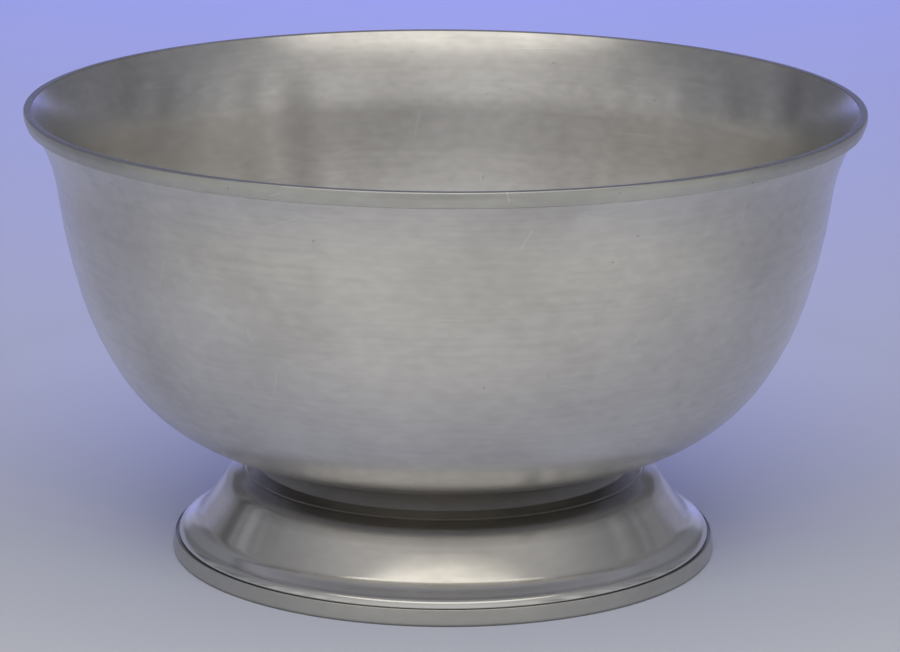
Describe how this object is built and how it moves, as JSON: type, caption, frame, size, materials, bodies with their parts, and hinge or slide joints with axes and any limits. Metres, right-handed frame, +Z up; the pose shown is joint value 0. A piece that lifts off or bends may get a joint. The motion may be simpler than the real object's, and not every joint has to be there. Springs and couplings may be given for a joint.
{
  "type": "footed bowl",
  "caption": "Round open bowl of satin pewter with an everted banded lip, on a hollow spun pedestal foot with a collar, flared skirt and grooved base ring; stands free to serve food.",
  "frame": {"origin": "on the axis of the bowl, at the table plane under the base ring", "axes": "+Z up along the axis of revolution; X and Y are free, the picture looks along +Y from the -Y side"},
  "size_m": [0.127, 0.127, 0.0693],
  "materials": {
    "satin_pewter": "satin, finely brushed round the axis",
    "polished_pewter": "soft polish with fine turning lines",
    "tin_solder": "dull, as it set"
  },
  "bodies": {
    "root": {"bowl_shell": "satin_pewter", "rim_band": "satin_pewter", "foot": "polished_pewter", "base_ring": "satin_pewter", "rim_solder": "tin_solder", "neck_solder": "tin_solder", "base_solder": "tin_solder"}
  },
  "joints": []
}
